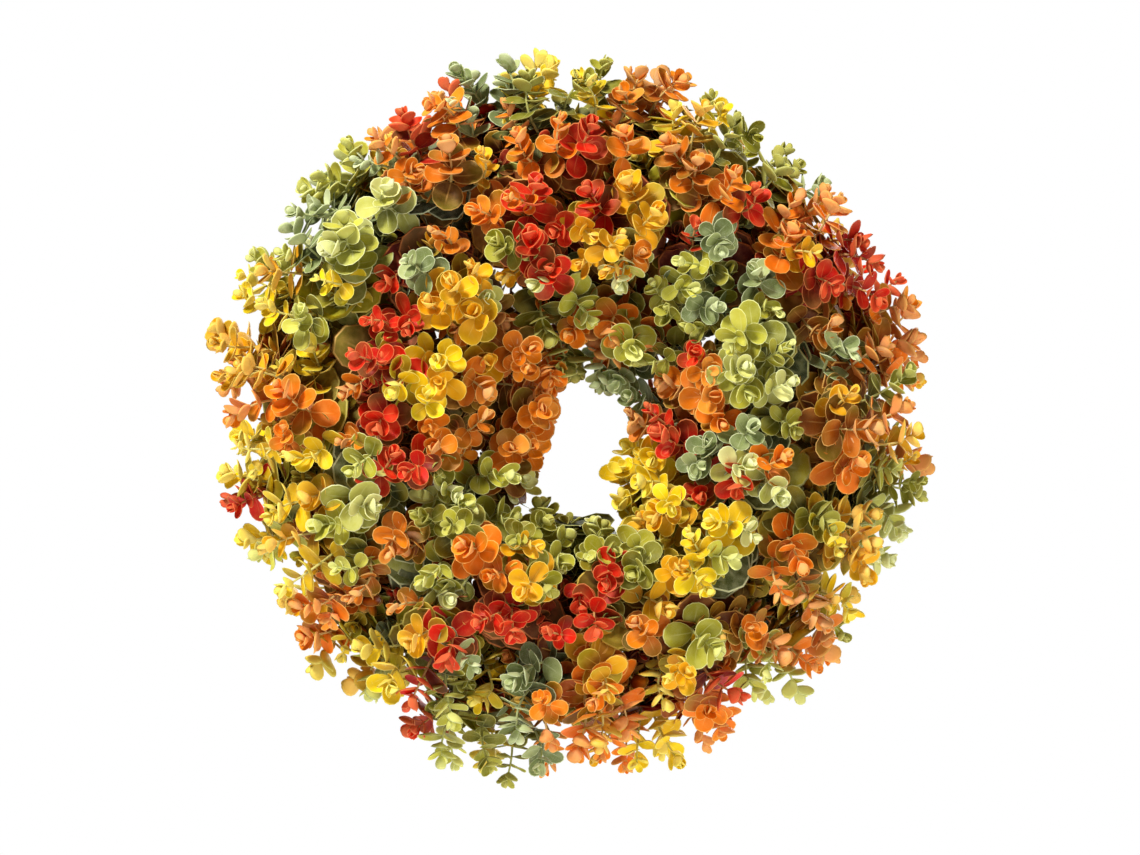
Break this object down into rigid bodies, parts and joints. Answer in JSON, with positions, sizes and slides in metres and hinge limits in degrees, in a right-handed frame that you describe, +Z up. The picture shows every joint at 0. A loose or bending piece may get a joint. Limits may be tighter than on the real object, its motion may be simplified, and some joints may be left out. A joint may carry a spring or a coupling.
{
  "type": "autumn eucalyptus wreath",
  "caption": "Round artificial eucalyptus wreath: sprigs of small round autumn-coloured leaves on a box-section wire ring form, with a swinging wire hanging loop.",
  "frame": {"origin": "the hang point: inner top of the hanger loop, where a nail or hook sits", "axes": "+Z up as hung, +Y out of the back of the wreath towards the wall, front faces -Y"},
  "size_m": [0.4281, 0.1155, 0.4308],
  "materials": {
    "form_wire": "satin",
    "binding_wire": "satin",
    "hanger_wire": "satin",
    "leaf_red": "matte",
    "leaf_orange": "matte",
    "leaf_yellow": "matte",
    "leaf_lime": "matte",
    "leaf_sage": "matte",
    "leaf_olive": "matte"
  },
  "bodies": {
    "wreath": {"ring_wire_outer_back": "form_wire", "ring_wire_inner_back": "form_wire", "ring_wire_outer_front": "form_wire", "ring_wire_inner_front": "form_wire", "cross_brace_1": "form_wire", "cross_brace_2": "form_wire", "cross_brace_3": "form_wire", "cross_brace_4": "form_wire", "cross_brace_5": "form_wire", "cross_brace_6": "form_wire", "cross_brace_7": "form_wire", "cross_brace_8": "form_wire", "binding_wire": "binding_wire", "outer_pick_01": "leaf_orange", "outer_pick_02": "leaf_orange", "outer_pick_03": "leaf_orange", "outer_pick_04": "leaf_olive", "outer_pick_05": "leaf_orange", "outer_pick_06": "leaf_yellow", "outer_pick_07": "leaf_lime", "outer_pick_08": "leaf_yellow", "outer_pick_09": "leaf_yellow", "outer_pick_10": "leaf_yellow", "outer_pick_11": "leaf_lime", "outer_pick_12": "leaf_sage", "shoulder_pick_01": "leaf_red", "shoulder_pick_02": "leaf_red", "shoulder_pick_03": "leaf_red", "shoulder_pick_04": "leaf_yellow", "shoulder_pick_05": "leaf_orange", "shoulder_pick_06": "leaf_orange", "shoulder_pick_07": "leaf_orange", "shoulder_pick_08": "leaf_yellow", "shoulder_pick_09": "leaf_lime", "shoulder_pick_10": "leaf_orange", "shoulder_pick_11": "leaf_yellow", "shoulder_pick_12": "leaf_orange", "front_pick_01": "leaf_orange", "front_pick_02": "leaf_sage", "front_pick_03": "leaf_lime", "front_pick_04": "leaf_red", "front_pick_05": "leaf_yellow", "front_pick_06": "leaf_lime", "front_pick_07": "leaf_orange", "front_pick_08": "leaf_lime", "front_pick_09": "leaf_red", "front_pick_10": "leaf_red", "front_pick_11": "leaf_olive", "front_pick_12": "leaf_red", "inner_pick_01": "leaf_olive", "inner_pick_02": "leaf_sage", "inner_pick_03": "leaf_red", "inner_pick_04": "leaf_yellow", "inner_pick_05": "leaf_olive", "inner_pick_06": "leaf_lime", "inner_pick_07": "leaf_orange", "inner_pick_08": "leaf_orange"},
    "hanger": {"hanger_loop": "hanger_wire"}
  },
  "joints": [
    {"name": "hanger_swing", "type": "hinge", "parent": "wreath", "child": "hanger", "pos_m": [0, -0.00332, -0.0282], "axis": [-1, 0, 0], "range_deg": [0, 180]}
  ]
}
